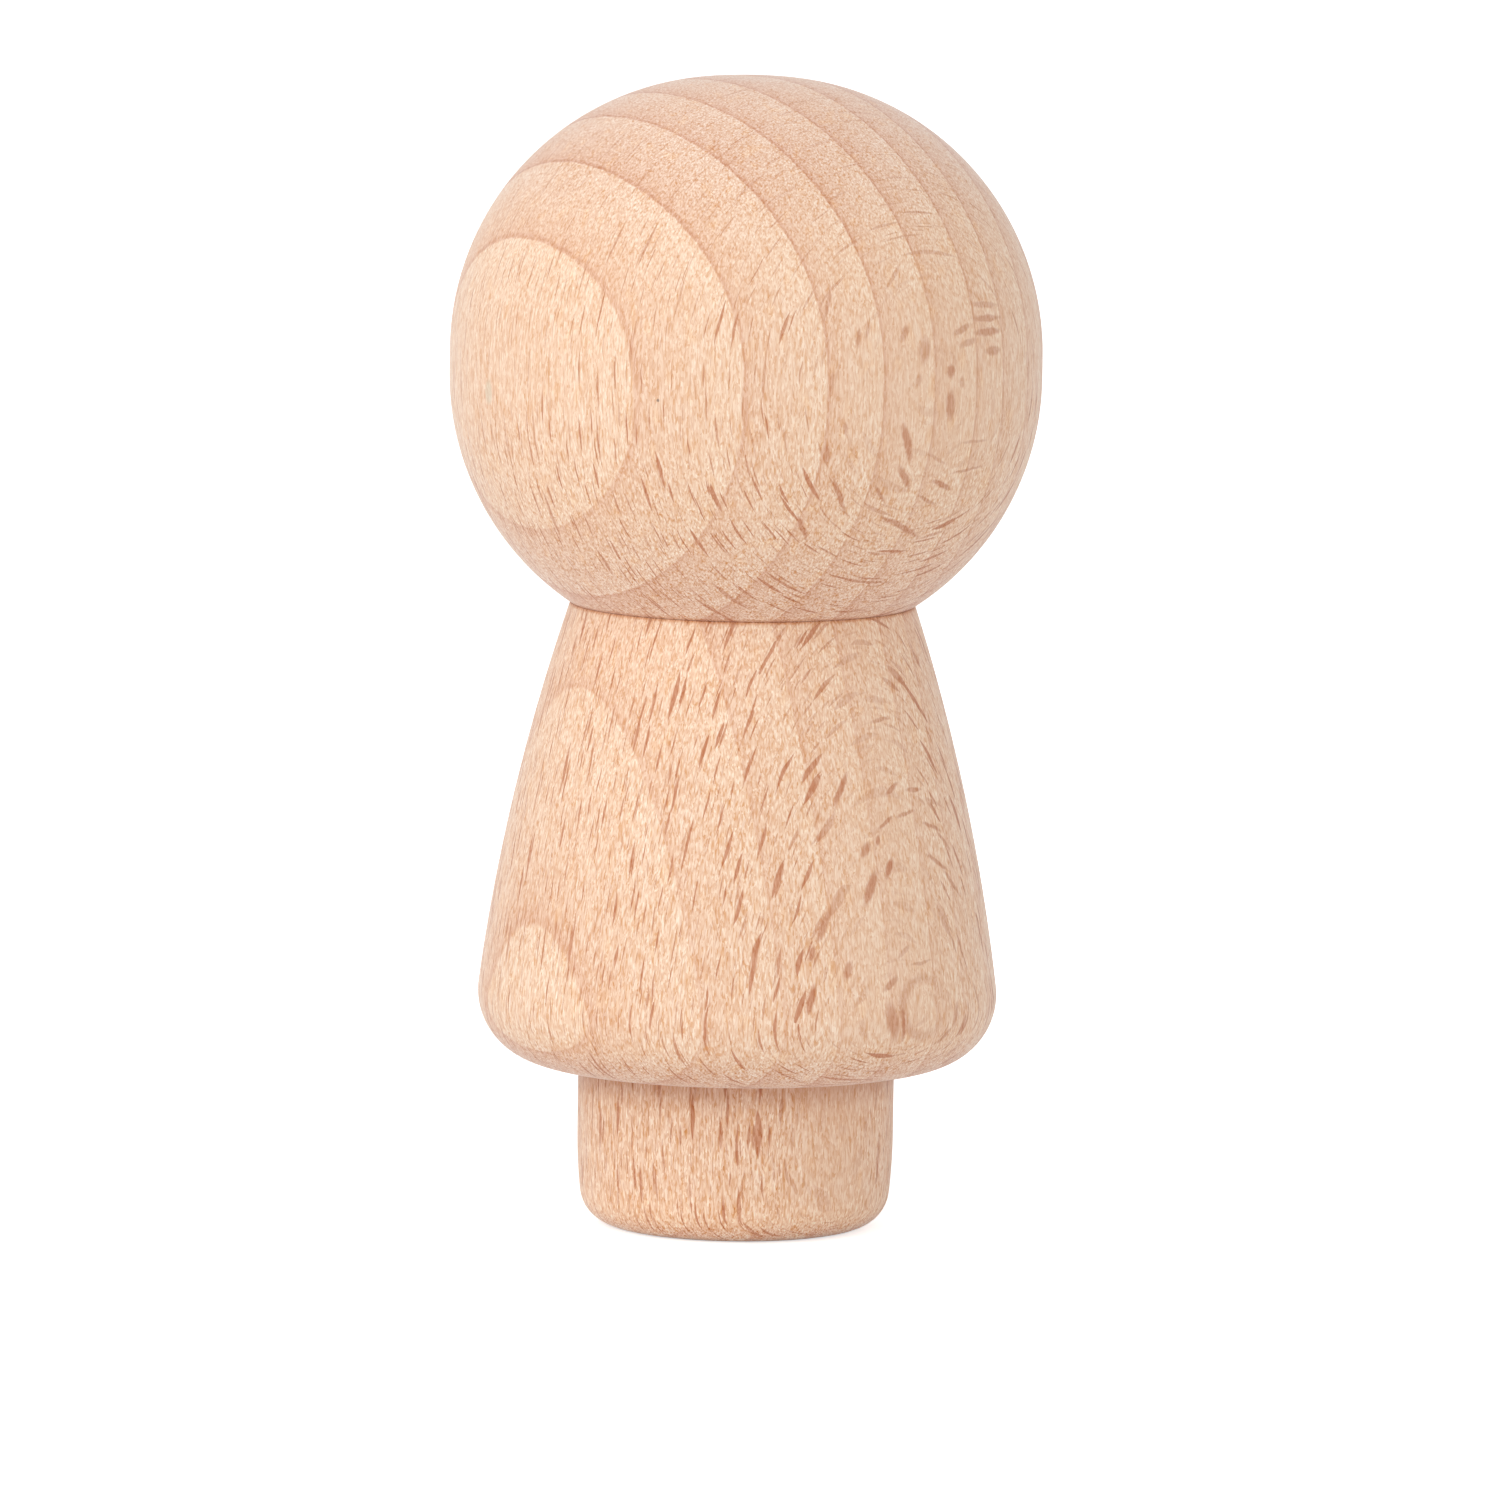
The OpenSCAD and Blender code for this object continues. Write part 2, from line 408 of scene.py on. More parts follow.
# Colours of the wood, linear, the warm spots and where a noise puts them, and how each channel
# follows the fine grain
EARLY_WOOD = (0.925, 0.662, 0.475)
LATE_WOOD = (0.79, 0.475, 0.315)
RAY_FLECK = (0.6, 0.27, 0.15)
WARM_SPOT = (0.9, 0.55, 0.3)
WARM_SHARE = 0.32
WARM_STRETCH = (1.3, 1.3, 0.5)
WARM_BAND = (0.56, 0.72)
END_GRAIN = (0.94, 0.92, 0.96)
GRAIN_TINT = (0.36, 0.8, 1.2)

# Tint of the foot, painted light on its lower edge, painted shade along the seam at the neck and painted
# shadow in the corner under the skirt, with the bands of height or distance over which they come in, in
# millimetres
FOOT_TINT = (0.998, 0.993, 0.988)
EDGE_PAINTED_LIGHT = (1.05, 1.05, 1.03)
EDGE_PAINTED_LIGHT_BAND = (4.0, 1.0)
SEAM_PAINTED_SHADE = (0.86, 0.71, 0.58)
SEAM_PAINTED_SHADE_REACH = (0.27, 0.08)
UNDER_SKIRT_PAINTED_SHADOW = (0.81, 0.73, 0.72)
PAINTED_SHADOW_BAND = (8.8, 10.9)
PAINTED_SHADOW_TOP = (11.4, 11.2)

# Relief of the bare wood, how rough it is from its hollows to its threads, and the sheen of its fibres
RAY_DENT = -0.3
RELIEF_STRENGTH = 0.28
RELIEF_DEPTH = 0.05 * MM
THREAD_BAND = (0.3, 0.7)
ROUGHNESS = (0.7, 0.52)
SPECULAR = 0.3
SHEEN = 0.3
SHEEN_TINT = (0.75, 0.88, 1.0, 1.0)
SHEEN_ROUGHNESS = 0.4

# The dowel's wood: the width of a year in millimetres and where in it the wood darkens, how its years
# bend, its streaks and fibres, its rays as in a row of RAY_LAYERS, its colours, painted shine and shade on
# its fibres, and its finish
DOWEL_YEAR = 2.1
DOWEL_DARKENING = (0.3, 0.95)
DOWEL_BEND_STRETCH = (0.15, 0.15, 0.05)
DOWEL_BEND_REACH = (0.8, 0.8, 0.0)
DOWEL_STREAKS = (2.2, 2.2, 0.12)
DOWEL_FIBRES = (7.0, 7.0, 0.8)
DOWEL_RAYS = ((2.6, 0.7, 2.4), (1.4, 0.06, 1.1), 0.2, 0.7)
DOWEL_EARLY = (0.72, 0.49, 0.31)
DOWEL_LATE = (0.56, 0.35, 0.2)
DOWEL_RAY = (0.38, 0.2, 0.11)
DOWEL_PAINTED_SHINE = (0.9, 1.06)
DOWEL_RELIEF = 0.25
DOWEL_ROUGHNESS = (0.66, 0.52)
DOWEL_SPECULAR = 0.35

# The studio: the floor's width in metres and its finish, how brightly it glows to the camera, the
# world's light on the object, and the lamps' distance from its middle and their width in metres
FLOOR_WIDTH = 12.0
FLOOR_GREY = 0.86
FLOOR_ROUGHNESS = 0.9
FLOOR_SPECULAR = 0.1
FLOOR_GLOW = 0.65
WORLD_LIGHT = 0.65
LAMP_DISTANCE = 1.2
LAMP_WIDTH = 0.9

# Lamps: the turn from the front towards the right, the lift, both in degrees, and the power in watts
LAMPS = (
    ("key", -42, 38, 4.5),
    ("left", -62, 6, 1.9),
    ("front", 0, 12, 1.4),
    ("right", 70, 25, 0.45),
    ("back", 180, 55, 0.8),
)


class Nodes:
    """Short names for building a shader's node tree."""

    def __init__(self, name):
        self.material = bpy.data.materials.new(name)
        self.material.use_nodes = True
        self.tree = self.material.node_tree
        self.shader = self.tree.nodes["Principled BSDF"]

    def add(self, kind, inputs=(), **settings):
        """A node of a kind, its settings, and its inputs by name or number: values or other sockets."""
        node = self.tree.nodes.new(kind)
        for key, value in settings.items():
            setattr(node, key, value)
        for key, value in dict(inputs).items():
            if isinstance(value, bpy.types.NodeSocket):
                self.tree.links.new(value, node.inputs[key])
            elif value is not None:
                node.inputs[key].default_value = value
        return node

    def math(self, operation, a, b=None, c=None, clamp=False):
        return self.add("ShaderNodeMath", {0: a, 1: b, 2: c}, operation=operation, use_clamp=clamp).outputs[0]

    def vector(self, operation, a, b=None, c=None):
        node = self.add("ShaderNodeVectorMath", {0: a, 1: b, 2: c}, operation=operation)
        return node.outputs["Value" if operation in ("LENGTH", "DOT_PRODUCT") else "Vector"]

    def split(self, vector):
        return self.add("ShaderNodeSeparateXYZ", {0: vector}).outputs

    def join(self, x, y, z):
        return self.add("ShaderNodeCombineXYZ", {0: x, 1: y, 2: z}).outputs[0]

    def noise(self, place, stretch, detail=2.0, colour=False):
        """Soft noise over a place; stretch is its turns a millimetre along each axis."""
        inputs = {"Vector": self.vector("MULTIPLY", place, stretch), "Scale": 1.0, "Detail": detail}
        return self.add("ShaderNodeTexNoise", inputs).outputs["Color" if colour else "Fac"]

    def fade(self, value, low, high, to_low=0.0, to_high=1.0):
        """Smooth step of a value from one end of a range to the other."""
        inputs = {"Value": value, "From Min": low, "From Max": high, "To Min": to_low, "To Max": to_high}
        settings = {"interpolation_type": "SMOOTHSTEP", "clamp": False}
        return self.add("ShaderNodeMapRange", inputs, **settings).outputs[0]

    def ramp(self, value, low, high, to_low=0.0, to_high=1.0):
        """Straight step of a value from one end of a range to the other."""
        inputs = {"Value": value, "From Min": low, "From Max": high, "To Min": to_low, "To Max": to_high}
        return self.add("ShaderNodeMapRange", inputs).outputs[0]

    def curve(self, value, points):
        """A value led along straight lines between points."""
        node = self.add("ShaderNodeFloatCurve", {"Value": value})
        line = node.mapping.curves[0]
        line.points[0].location = points[0]
        line.points[1].location = points[-1]
        for x, y in points[1:-1]:
            line.points.new(x, y)
        for point in line.points:
            point.handle_type = "VECTOR"
        node.mapping.update()
        return node.outputs[0]

    def mix(self, factor, a, b, blend="MIX"):
        colours = [c if isinstance(c, bpy.types.NodeSocket) else (*c, 1.0) for c in (a, b)]
        inputs = {"Factor": factor, 6: colours[0], 7: colours[1]}
        return self.add("ShaderNodeMix", inputs, data_type="RGBA", blend_type=blend).outputs[2]

    def tinted(self, factor, colour, tint):
        """A colour multiplied by a tint, as far as the factor says."""
        return self.mix(factor, colour, tint, "MULTIPLY")

    def finish(self, colour, rough, relief, strength):
        """The shader's colour, roughness and relief from these sockets."""
        inputs = {"Height": relief, "Strength": strength, "Distance": RELIEF_DEPTH}
        bump = self.add("ShaderNodeBump", inputs).outputs[0]
        for key, socket in (("Base Color", colour), ("Roughness", rough), ("Normal", bump)):
            self.tree.links.new(socket, self.shader.inputs[key])


def wood_place(g):
    """Place in the tree, in millimetres: x towards the bark, y along the rings, z up the trunk."""
    place = g.add("ShaderNodeTexCoord").outputs["Object"]
    turned_place = g.add("ShaderNodeMapping", {"Vector": place, "Rotation": (0, 0, BARK_TURN)}).outputs[0]
    return g.vector("MULTIPLY", turned_place, (1 / MM, 1 / MM, 1 / MM))


def warped(g, place, stretch, reach):
    """The place pushed about by a slow noise: stretch is turns a millimetre, reach the push each way."""
    push = g.noise(place, stretch, colour=True)
    centred = g.vector("SUBTRACT", push, (0.5, 0.5, 0.5))
    return g.vector("ADD", place, g.vector("MULTIPLY", centred, reach))


def growth(g, place):
    """How far through its year each ring is, from 0 at the spring edge to 1 at the autumn edge."""
    x, y, z = g.split(place)
    up = g.math("SUBTRACT", z, RING_LEVEL)
    bend = g.math("MULTIPLY_ADD", y, RING_BEND_GROWTH, RING_BEND)
    bend = g.math("MULTIPLY_ADD", up, RING_BEND_UP, bend)
    outward = g.math("MULTIPLY_ADD", y, g.math("MULTIPLY_ADD", y, bend, RING_LEAN), x)
    tilt = g.math("MULTIPLY_ADD", up, RING_TILT_GROWTH, RING_TILT_BEND)
    tilt = g.math("MULTIPLY_ADD", up, tilt, RING_TILT)
    twist = g.math("MULTIPLY_ADD", up, RING_TWIST_GROWTH, RING_TWIST)
    outward = g.math("MULTIPLY_ADD", up, g.math("MULTIPLY_ADD", y, twist, tilt), outward)
    count = len(RING_EDGES) + 1
    edges = [(0, 0)]
    for year, edge in enumerate(RING_EDGES, 1):
        edges.append(((edge + RING_RANGE) / (2 * RING_RANGE), year / count))
    edges.append((1, 1))
    years = g.curve(g.ramp(outward, -RING_RANGE, RING_RANGE), edges)
    return g.math("FRACT", g.math("MULTIPLY", years, count))


def rays(g, place, spacing, half, swell):
    """Medullary rays: thin upright ribbons that run towards the bark. Spacing and half size are
    (towards the bark, across, up), and swell makes them thicker. Gives how deep in a ribbon the
    place is, and a random number for each ribbon."""
    scaled = g.vector("MULTIPLY", place, tuple(1 / s for s in spacing))
    found = g.add("ShaderNodeTexVoronoi", {"Vector": scaled, "Scale": 1.0, "Randomness": RAY_WILDNESS})
    away = g.vector("MULTIPLY", g.vector("SUBTRACT", scaled, found.outputs["Position"]), spacing)
    size, turn, shade = g.split(found.outputs["Color"])
    x, y, z = g.split(away)
    thick = g.math("MULTIPLY", g.ramp(size, 0, 1, THINNEST_SHARE * half[1], half[1]), swell)
    tall = g.math("MULTIPLY", g.ramp(turn, 0, 1, SHORTEST_SHARE, 1.0), half[2])
    across = g.math("DIVIDE", g.math("ABSOLUTE", y), thick)
    up = g.math("DIVIDE", z, tall)
    out = g.math("DIVIDE", x, half[0])
    rest = g.math("SUBTRACT", 1.0, g.math("MULTIPLY", up, up))
    rest = g.math("SUBTRACT", rest, g.math("MULTIPLY", out, out))
    return g.ramp(g.math("SUBTRACT", rest, across), 0.0, RAY_EDGE), shade


def surface_place(g):
    """Place on the doll's surface in millimetres, unrolled: round the doll from the front, and height."""
    x, y, z = g.split(g.add("ShaderNodeTexCoord").outputs["Object"])
    turn = g.math("ARCTAN2", x, g.math("MULTIPLY", y, -1.0))
    flat = g.join(g.math("MULTIPLY", turn, TURN_R), g.math("DIVIDE", z, MM), 0.0)
    return warped(g, flat, FLECK_BEND_STRETCH, FLECK_BEND_REACH)


def from_oval(g, surface, turn, height, half_length, half_width, lean):
    """The way from the middle of an oval on the doll's surface, in halves of its width and length."""
    centre = Vector((math.radians(turn) * TURN_R, height, 0))
    scale = Vector((1 / half_width, 1 / half_length, 0))
    inputs = {"Vector": surface, "Center": centre, "Angle": math.radians(lean)}
    upright = g.add("ShaderNodeVectorRotate", inputs, rotation_type="Z_AXIS").outputs[0]
    return g.vector("MULTIPLY_ADD", upright, scale, -centre * scale)


def placed(g, surface, *oval):
    """How well inside an oval on the doll's surface the place is, from 0 outside to 1."""
    return g.fade(g.vector("LENGTH", from_oval(g, surface, *oval)), *FLECK_EDGE)


def looped(g, surface, turn, height, half_length, half_width, strength):
    """A fleck bent round into a loop on the doll's surface, strongest on its left."""
    inside = from_oval(g, surface, turn, height, half_length, half_width, 0)
    away = g.vector("LENGTH", inside)
    loop = g.math("MULTIPLY", g.fade(away, *LOOP_INNER_EDGE), g.fade(away, *LOOP_OUTER_EDGE))
    sides = g.ramp(g.split(inside)[0], *LOOP_SIDES, LOOP_RIGHT_SHARE * strength, strength)
    return g.math("MULTIPLY", loop, sides)


def fibres(g, place, size, wildness):
    """Fibres of a size in millimetres: a node that gives the distance from the middle of one, and a
    random colour for each."""
    scaled = g.vector("MULTIPLY", place, tuple(1 / s for s in size))
    return g.add("ShaderNodeTexVoronoi", {"Vector": scaled, "Scale": 1.0, "Randomness": wildness})


def ring_colour(g, place, height, level, year):
    """Colour of the wood through its years, with the rings as strong as each part of the doll shows."""
    contrast = g.fade(height, *SKIRT_RING_BAND, FOOT_CONTRAST, SKIRT_CONTRAST)
    contrast = g.ramp(g.fade(height, *HEAD_RING_BAND), 0, 1, contrast, HEAD_CONTRAST)
    open_ends = g.math("MAXIMUM", g.fade(level, *OPEN_FACING), g.fade(level, *UNDER_FACING))
    contrast = g.ramp(open_ends, 0, 1, contrast, RING_CONTRAST_END)
    depth = g.split(place)[0]
    tongue = g.math("MULTIPLY", g.fade(depth, *TONGUE_DEPTH), g.fade(height, *TONGUE_BAND))
    contrast = g.ramp(tongue, 0, 1, contrast, TONGUE_CONTRAST)
    tone = g.math("SUBTRACT", g.curve(year, YEAR_TONE), MEAN_TONE)
    tone = g.math("MULTIPLY_ADD", tone, contrast, MEAN_TONE)
    return g.mix(tone, EARLY_WOOD, LATE_WOOD)


def fine_grain(g, place, smooth, on_foot, end_grain, flat_on):
    """Tint of the fine grain: strands with staggered ends, fuzz between them, and slow blotches."""
    staggered = warped(g, place, STAGGER_STRETCH, STAGGER)
    strands = fibres(g, staggered, STRAND_SIZE, STRAND_EVENNESS).outputs["Distance"]
    fuzz = g.split(fibres(g, staggered, FUZZ_SIZE, 1.0).outputs["Color"])[0]
    grain = g.math("MULTIPLY", g.math("SUBTRACT", strands, STRAND_MEAN), STRAND_TONE)
    grain = g.math("MULTIPLY_ADD", g.math("SUBTRACT", fuzz, 0.5), FUZZ_TONE, grain)
    coarse = g.ramp(smooth, 0, 1, *GRAIN_CONTRAST)
    grain = g.math("MULTIPLY", grain, g.ramp(on_foot, 0, 1, coarse, FOOT_GRAIN))
    grain = g.math("MULTIPLY", grain, g.ramp(end_grain, 0, 1, 1.0, END_GRAIN_CONTRAST))
    grain = g.math("MULTIPLY", grain, g.fade(flat_on, *FLAT_GRAIN_BAND, 1.0, FLAT_GRAIN))
    blotch = g.noise(place, BLOTCH_STRETCH)
    grain = g.math("MULTIPLY_ADD", g.math("SUBTRACT", blotch, 0.5), BLOTCH_TONE, grain)
    return g.vector("ADD", g.vector("MULTIPLY", g.join(grain, grain, grain), GRAIN_TINT), (1, 1, 1))


def pores(g, place, height, level, side_on, year):
    """Broken lines of pores along the edge of each ring, on the head's right side and its top."""
    gaps = g.noise(place, PORE_GAP_STRETCH, detail=1.0)
    lines = g.math("MULTIPLY", g.curve(year, PORE_LINE), g.fade(gaps, *PORE_GAP_BAND, THIN_PORES, 1.0))
    from_side = g.fade(side_on, *SIDE_PORE_FACING, 0.0, SIDE_PORES)
    from_top = g.fade(level, *OPEN_FACING, 0.0, TOP_PORES)
    lines = g.math("MULTIPLY", lines, g.math("MAXIMUM", from_side, from_top))
    return g.math("MULTIPLY", lines, g.fade(height, *PORE_BAND))


def ray_marks(g, place, height, level, smooth, on_foot, flat_on):
    """The rays that the surface cuts, from all layers."""
    swell = g.ramp(smooth, 0, 1, *RAY_THICKNESS)
    swell = g.math("MULTIPLY", swell, g.fade(level, *THICK_RAY_FACING, 1.0, END_SWELL))
    waved = warped(g, place, BEND_STRETCH, BEND_REACH)
    waved = warped(g, waved, KINK_STRETCH, KINK_REACH)
    marks = 0.0
    for spacing, half, faintest, strongest in RAY_LAYERS:
        depth, shade = rays(g, waved, spacing, half, swell)
        mark = g.math("MULTIPLY", depth, g.ramp(shade, 0, 1, faintest, strongest))
        marks = g.math("MAXIMUM", mark, marks)
    marks = g.math("MULTIPLY", marks, g.ramp(smooth, 0, 1, *RAY_STRENGTH), clamp=True)
    flat = g.math("MULTIPLY_ADD", g.fade(height, *FLAT_RAY_BAND), HEAD_FLAT_RAY_SHIFT, flat_on)
    marks = g.math("MULTIPLY", marks, g.fade(flat, *FLAT_RAY_FACING, 1.0, FLAT_RAYS))
    marks = g.math("MULTIPLY", marks, g.fade(level, *SHORT_RAY_FACING, 1.0, END_RAYS))
    return g.math("MULTIPLY", marks, g.ramp(on_foot, 0, 1, 1.0, FOOT_RAYS))


def placed_flecks(g, surface):
    """The flecks and the loop that are placed as in the photograph."""
    flecks = looped(g, surface, *LOOP)
    for *oval, strength in FLECKS:
        flecks = g.math("MAXIMUM", flecks, g.math("MULTIPLY", placed(g, surface, *oval), strength))
    return flecks


def marked(g, surface, colour):
    """The colour with the marks on the finish."""
    for *oval, mark_colour, strength in MARKS:
        stain = placed(g, surface, *oval, 0)
        colour = g.mix(g.math("MULTIPLY", stain, strength), colour, mark_colour)
    return colour


def foot_tint_and_painted_light(g, height, on_foot, colour):
    """The colour with the tint of the foot, painted light on its edge, painted shade in the seam and painted
    shadow in the corner.
    """
    colour = g.tinted(on_foot, colour, FOOT_TINT)
    # Painted light: the foot's lowest millimetres are made paler, in place of light thrown up from the floor
    colour = g.tinted(g.fade(height, *EDGE_PAINTED_LIGHT_BAND), colour, EDGE_PAINTED_LIGHT)
    # Painted shade: a darker, warm brown band along the seam between head and skirt, where shade falls in the
    # crease
    from_seam = g.math("ABSOLUTE", g.math("SUBTRACT", height, node_box("body")[1].z))
    colour = g.tinted(g.fade(from_seam, *SEAM_PAINTED_SHADE_REACH), colour, SEAM_PAINTED_SHADE)
    # Painted shadow: the top of the foot just under the skirt's hem is darkened, in place of the skirt's
    # shadow
    corner = g.math("MULTIPLY", g.fade(height, *PAINTED_SHADOW_BAND), g.fade(height, *PAINTED_SHADOW_TOP))
    return g.tinted(corner, colour, UNDER_SKIRT_PAINTED_SHADOW)


def beech(name):
    """Bare sanded beech, the same block of wood all through the doll."""
    g = Nodes(name)
    place = wood_place(g)
    height = g.split(place)[2]
    facing = g.add("ShaderNodeTexCoord").outputs["Normal"]
    level = g.split(facing)[2]
    end_grain = g.fade(g.math("ABSOLUTE", level), *END_GRAIN_FACING)
    side_on = g.vector("DOT_PRODUCT", facing, RAY_FACE)
    flat_on = g.math("ABSOLUTE", side_on)
    smooth = g.fade(height, *FINISH_BAND)
    on_foot = g.fade(height, *FOOT_BAND)
    raggedness = g.join(g.fade(height, *CROWN_BAND, *RAGGEDNESS), 0.0, 0.0)
    year = growth(g, warped(g, place, RAGGED_STRETCH, raggedness))

    colour = ring_colour(g, place, height, level, year)
    colour = g.tinted(end_grain, colour, END_GRAIN)
    warmth = g.fade(g.noise(place, WARM_STRETCH), *WARM_BAND, 0.0, WARM_SHARE)
    colour = g.mix(warmth, colour, WARM_SPOT)

    dents = ray_marks(g, place, height, level, smooth, on_foot, flat_on)
    dents = g.math("MAXIMUM", dents, pores(g, place, height, level, side_on, year))
    surface = surface_place(g)
    colour = g.mix(g.math("MAXIMUM", dents, placed_flecks(g, surface)), colour, RAY_FLECK)
    colour = g.tinted(1.0, colour, fine_grain(g, place, smooth, on_foot, end_grain, flat_on))
    colour = foot_tint_and_painted_light(g, height, on_foot, marked(g, surface, colour))

    threads = g.noise(place, THREAD_STRETCH, detail=1.0)
    relief = g.math("MULTIPLY_ADD", dents, RAY_DENT, threads)
    g.finish(colour, g.ramp(threads, *THREAD_BAND, *ROUGHNESS), relief, RELIEF_STRENGTH)
    g.shader.inputs["Specular IOR Level"].default_value = SPECULAR
    g.shader.inputs["Sheen Weight"].default_value = SHEEN
    g.shader.inputs["Sheen Tint"].default_value = SHEEN_TINT
    g.shader.inputs["Sheen Roughness"].default_value = SHEEN_ROUGHNESS
    return g.material


def milled_beech(name):
    """Beech of the milled dowel: straight fibres along its length, darker and plainer than the doll."""
    g = Nodes(name)
    place = g.vector("MULTIPLY", g.add("ShaderNodeTexCoord").outputs["Object"], (1 / MM, 1 / MM, 1 / MM))
    waved = warped(g, place, DOWEL_BEND_STRETCH, DOWEL_BEND_REACH)
    year = g.math("FRACT", g.math("MULTIPLY", g.split(waved)[0], 1 / DOWEL_YEAR))
    streaks = g.noise(waved, DOWEL_STREAKS, detail=3.0)
    fine = g.noise(place, DOWEL_FIBRES)
    spacing, half, faintest, strongest = DOWEL_RAYS
    depth, shade = rays(g, waved, spacing, half, 1.0)
    mark = g.math("MULTIPLY", depth, g.ramp(shade, 0, 1, faintest, strongest))
    tone = g.math("MULTIPLY_ADD", g.fade(year, *DOWEL_DARKENING), 0.5, g.math("MULTIPLY", streaks, 0.5))
    colour = g.mix(tone, DOWEL_EARLY, DOWEL_LATE)
    colour = g.mix(mark, colour, DOWEL_RAY)
    # Painted shine and shade: the fibres are lightened and darkened in the colour, with the noise that also
    # sets their roughness and relief
    painted_shine = g.ramp(fine, *THREAD_BAND, *DOWEL_PAINTED_SHINE)
    colour = g.tinted(1.0, colour, g.join(painted_shine, painted_shine, painted_shine))
    g.finish(colour, g.ramp(fine, *THREAD_BAND, *DOWEL_ROUGHNESS), fine, DOWEL_RELIEF)
    g.shader.inputs["Specular IOR Level"].default_value = DOWEL_SPECULAR
    return g.material


def floor_material():
    """Pale floor that shows white to the camera where no shadow falls."""
    g = Nodes("floor")
    g.shader.inputs["Base Color"].default_value = (FLOOR_GREY, FLOOR_GREY, FLOOR_GREY, 1.0)
    g.shader.inputs["Roughness"].default_value = FLOOR_ROUGHNESS
    g.shader.inputs["Specular IOR Level"].default_value = FLOOR_SPECULAR
    path = g.add("ShaderNodeLightPath").outputs
    mirrored = g.math("MAXIMUM", path["Is Glossy Ray"], path["Is Transmission Ray"])
    seen = g.math("MAXIMUM", path["Is Camera Ray"], mirrored)
    strength = g.math("MULTIPLY", seen, FLOOR_GLOW)
    glow = g.add("ShaderNodeEmission", {"Color": (1, 1, 1, 1), "Strength": strength})
    both = g.add("ShaderNodeAddShader", {0: g.shader.outputs[0], 1: glow.outputs[0]})
    g.tree.links.new(both.outputs[0], g.tree.nodes["Material Output"].inputs["Surface"])
    return g.material


def add_floor():
    """Wide plane under the doll."""
    half = FLOOR_WIDTH / 2
    corners = [(-half, -half, 0), (half, -half, 0), (half, half, 0), (-half, half, 0)]
    mesh = bpy.data.meshes.new("floor")
    mesh.from_pydata(corners, [], [(0, 1, 2, 3)])
    floor = bpy.data.objects.new("floor", mesh)
    bpy.context.collection.objects.link(floor)
    mesh.materials.append(floor_material())


def add_world():
    """Even soft light all round; the camera and reflections see white."""
    world = bpy.data.worlds.new("studio")
    bpy.context.scene.world = world
    world.use_nodes = True
    tree = world.node_tree
    tree.nodes.clear()
    path = tree.nodes.new("ShaderNodeLightPath")
    mirrored = tree.nodes.new("ShaderNodeMath")
    mirrored.operation = "MAXIMUM"
    seen = tree.nodes.new("ShaderNodeMath")
    seen.operation = "MAXIMUM"
    tree.links.new(path.outputs["Is Glossy Ray"], mirrored.inputs[0])
    tree.links.new(path.outputs["Is Transmission Ray"], mirrored.inputs[1])
    tree.links.new(path.outputs["Is Camera Ray"], seen.inputs[0])
    tree.links.new(mirrored.outputs[0], seen.inputs[1])
    strength = tree.nodes.new("ShaderNodeMapRange")
    strength.inputs["To Min"].default_value = WORLD_LIGHT
    strength.inputs["To Max"].default_value = 1.0
    tree.links.new(seen.outputs[0], strength.inputs["Value"])
    light = tree.nodes.new("ShaderNodeBackground")
    light.inputs["Color"].default_value = (1, 1, 1, 1)
    tree.links.new(strength.outputs[0], light.inputs["Strength"])
    out = tree.nodes.new("ShaderNodeOutputWorld")
    tree.links.new(light.outputs[0], out.inputs["Surface"])


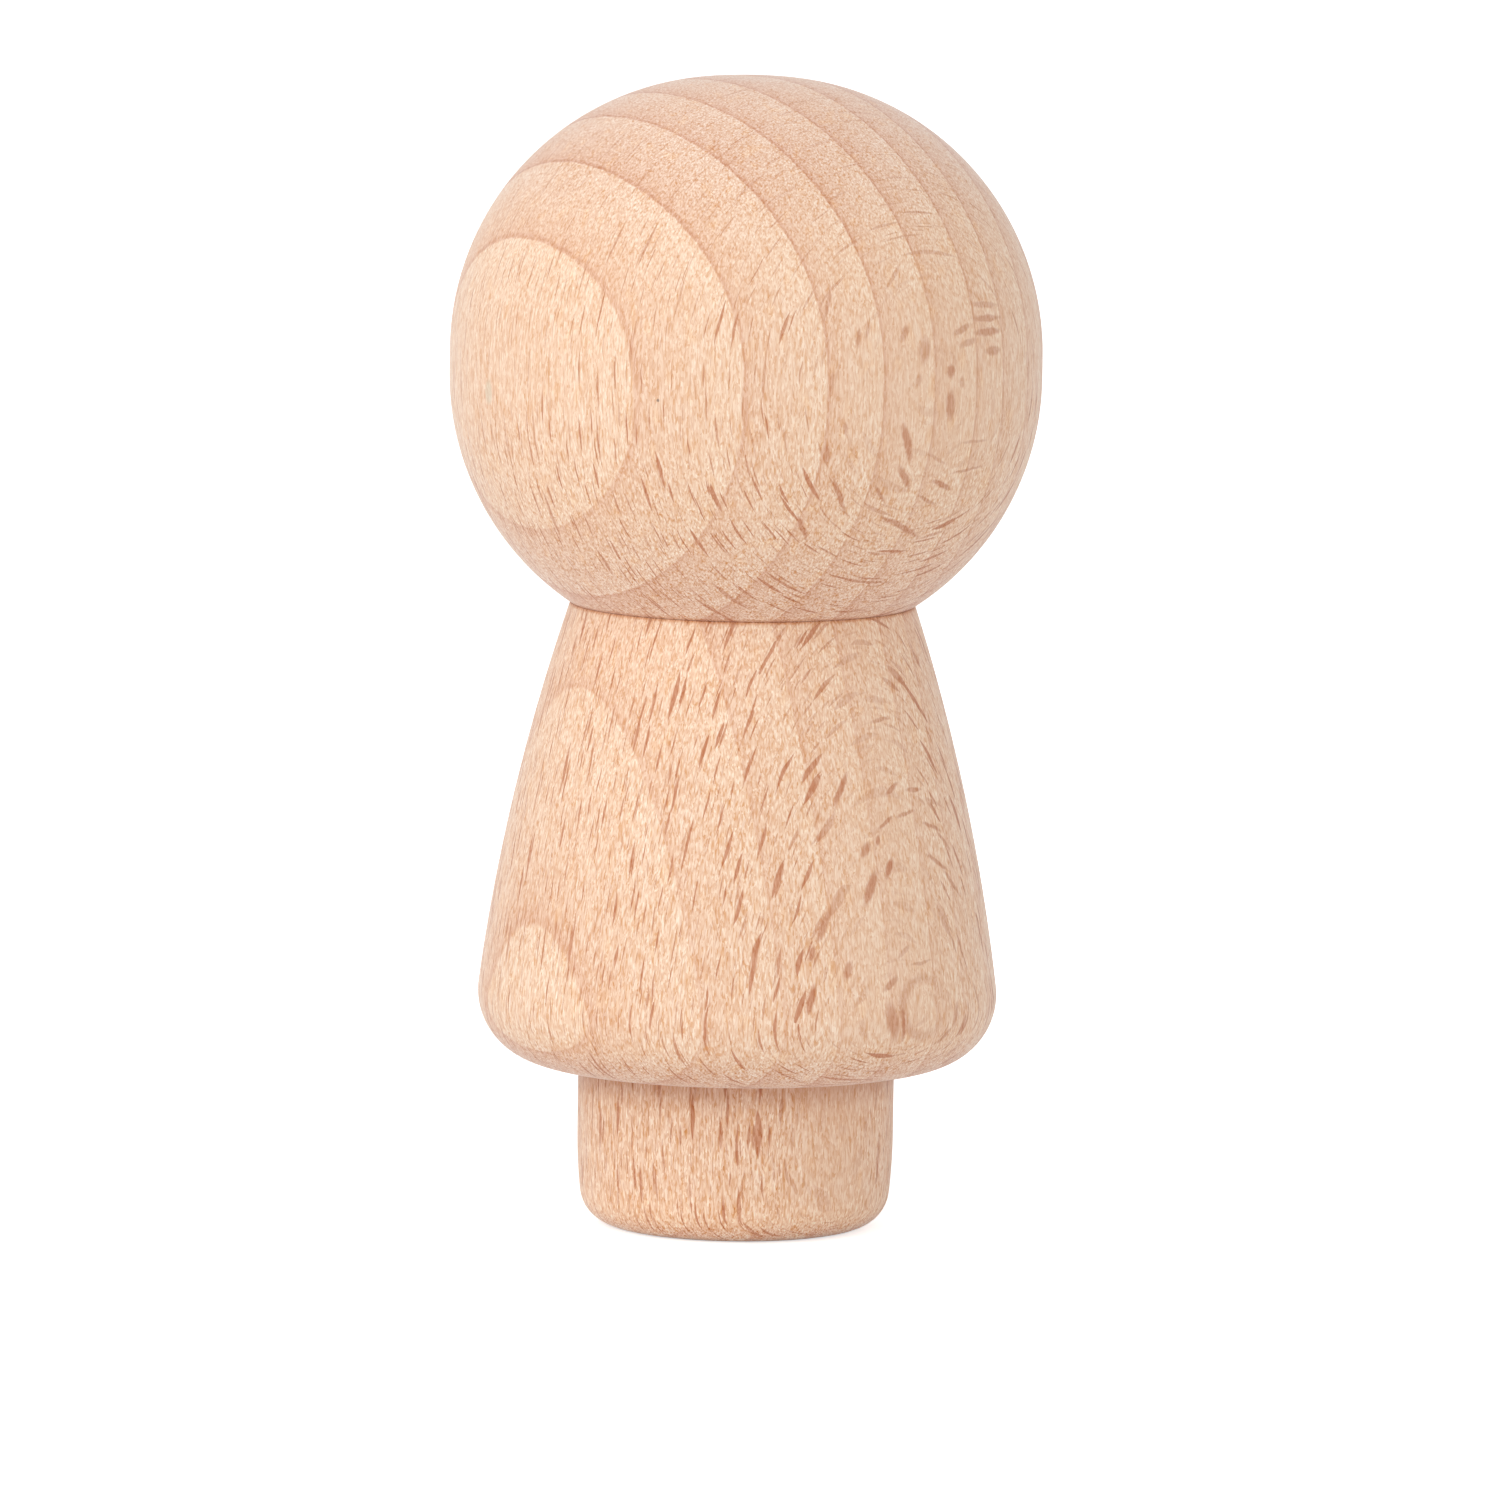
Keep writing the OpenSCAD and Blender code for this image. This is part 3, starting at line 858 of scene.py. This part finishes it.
def add_lamp(name, turn, lift, power):
    """Square soft lamp aimed at the middle of the doll."""
    lamp = bpy.data.lights.new(name, "AREA")
    lamp.size = LAMP_WIDTH
    lamp.energy = power
    holder = bpy.data.objects.new(name, lamp)
    bpy.context.collection.objects.link(holder)
    turn = math.radians(turn)
    lift = math.radians(lift)
    way = Vector((math.sin(turn) * math.cos(lift), -math.cos(turn) * math.cos(lift), math.sin(lift)))
    middle = Vector((0, 0, AIM_HEIGHT))
    holder.location = middle + way * LAMP_DISTANCE
    holder.rotation_euler = (-way).to_track_quat("-Z", "Y").to_euler()


def add_camera():
    """Long lens in front of the doll, a little above it, leaning as in the photograph."""
    data = bpy.data.cameras.new("camera")
    data.sensor_width = SENSOR_WIDTH
    pixels_per_metre = PIXELS_PER_MM / MM
    focal_pixels = pixels_per_metre * VIEW_DISTANCE
    data.lens = focal_pixels / FRAME_PIXELS * SENSOR_WIDTH
    data.clip_start = VIEW_DISTANCE / 10
    data.clip_end = VIEW_DISTANCE * 20
    camera = bpy.data.objects.new("camera", data)
    bpy.context.collection.objects.link(camera)
    forward = Vector((0, math.cos(VIEW_ELEVATION), -math.sin(VIEW_ELEVATION)))
    level = Vector((1, 0, 0))
    above = level.cross(forward)
    right = level * math.cos(VIEW_LEAN) + above * math.sin(VIEW_LEAN)
    up = above * math.cos(VIEW_LEAN) - level * math.sin(VIEW_LEAN)
    aim = Vector((0, 0, AIM_HEIGHT))
    place = aim - forward * VIEW_DISTANCE
    across = (FRAME_PIXELS / 2 - AIM_PIXEL[0]) / pixels_per_metre
    down = (FRAME_PIXELS / 2 - AIM_PIXEL[1]) / pixels_per_metre
    looked_at = aim + right * across - up * down
    back = (place - looked_at).normalized()
    side = up.cross(back).normalized()
    top = back.cross(side)
    axes = Matrix((side, top, back)).transposed().to_4x4()
    camera.matrix_world = Matrix.Translation(place) @ axes
    bpy.context.scene.camera = camera


def add_pieces():
    """The doll's turned pieces, each in place of its CAD node, and the dowel's own finish."""
    wood = beech("beech")
    for node, outline in (("head", head_outline()), ("body", body_outline()), ("foot", foot_outline())):
        piece = turned("turned_" + node, outline)
        piece.data.materials.append(wood)
        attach(piece, "root")
        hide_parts(node)
    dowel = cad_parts["neck_dowel"]
    dowel.data.materials.clear()
    dowel.data.materials.append(milled_beech("dowel_beech"))


scene = bpy.context.scene
scene.view_settings.view_transform = "Standard"
add_pieces()
add_floor()
add_world()
for lamp_row in LAMPS:
    add_lamp(*lamp_row)
add_camera()
